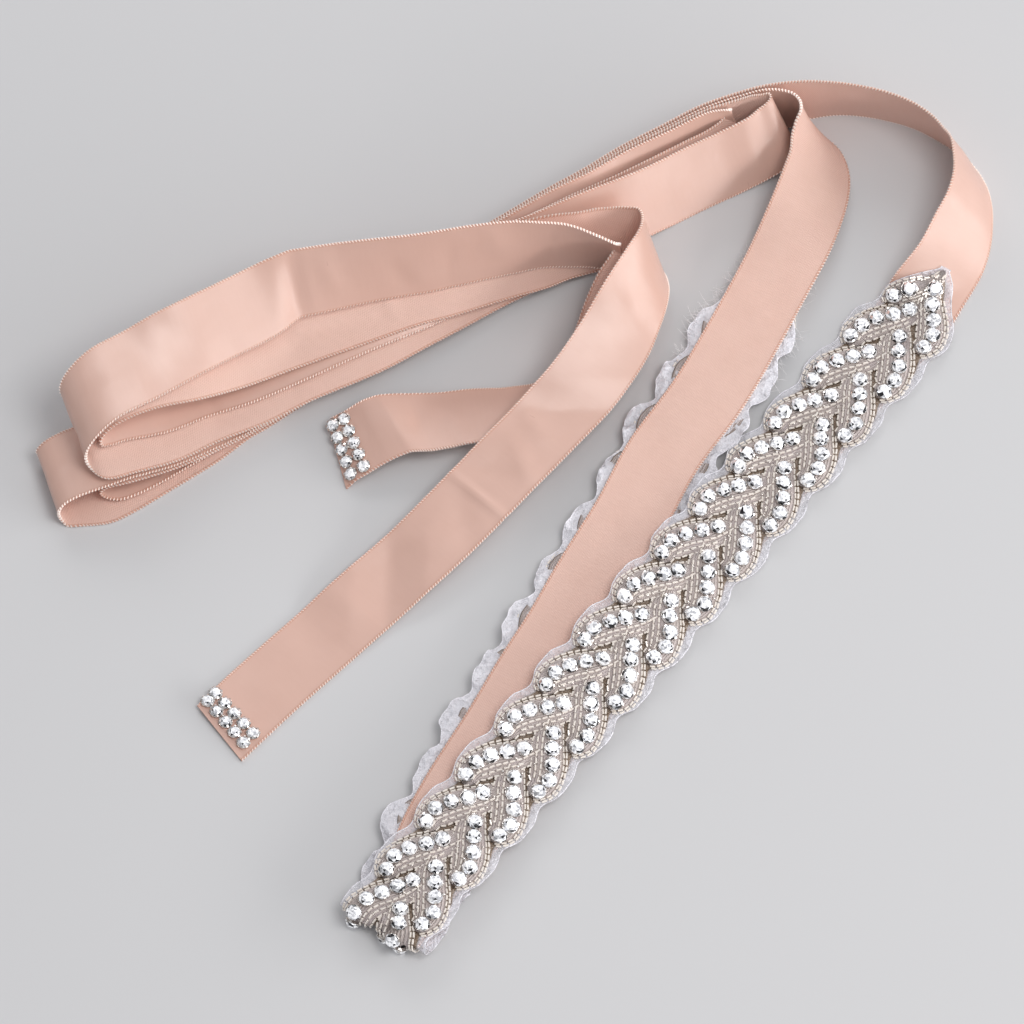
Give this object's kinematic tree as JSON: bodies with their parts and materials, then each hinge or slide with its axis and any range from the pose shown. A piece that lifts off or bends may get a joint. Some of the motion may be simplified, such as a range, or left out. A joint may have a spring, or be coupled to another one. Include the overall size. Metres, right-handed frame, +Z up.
{
  "type": "rhinestone bridal belt",
  "caption": "Satin ribbon sash with a plaited crystal and bead applique at its middle, dropped in loose loops with the beaded part folded in two.",
  "frame": {"origin": "middle of the base of the box round the belt, on the surface that it lies on", "axes": "+Z up from that surface; +X to the right and +Y away from the viewer, who looks along +Y and down"},
  "size_m": [0.317, 0.3222, 0.0395],
  "materials": {
    "satin": "satin",
    "plait": "crystals and glass tubes on clear film",
    "crystal": "polished"
  },
  "bodies": {
    "root": {"back_run": "satin", "bottom_strand": "satin", "fifth_strand": "satin", "first_panel": "satin", "first_strand": "satin", "fold": "satin", "fourth_strand": "satin", "front_run": "satin", "inner_arc": "satin", "left_bend_inner": "satin", "left_bend_outer": "satin", "low_left_inner": "satin", "low_left_outer": "satin", "low_left_outer_bend": "satin", "outer_arc_end": "satin", "outer_arc_side": "satin", "outer_arc_top": "satin", "plait_back": "plait", "plait_front": "plait", "right_bend_inner": "satin", "right_bend_outer": "satin", "second_strand": "satin", "seventh_strand": "satin", "sixth_strand": "satin", "stone_top_1_1": "crystal", "stone_top_1_2": "crystal", "stone_top_1_3": "crystal", "stone_top_1_4": "crystal", "stone_top_1_5": "crystal", "stone_top_2_1": "crystal", "stone_top_2_2": "crystal", "stone_top_2_3": "crystal", "stone_top_2_4": "crystal", "stone_top_2_5": "crystal", "stone_under_1_1": "crystal", "stone_under_1_2": "crystal", "stone_under_1_3": "crystal", "stone_under_1_4": "crystal", "stone_under_1_5": "crystal", "stone_under_2_1": "crystal", "stone_under_2_2": "crystal", "stone_under_2_3": "crystal", "stone_under_2_4": "crystal", "stone_under_2_5": "crystal", "tail_loop": "satin", "tail_top": "satin", "tail_under": "satin", "tail_under_turn": "satin", "third_strand": "satin"}
  },
  "joints": []
}
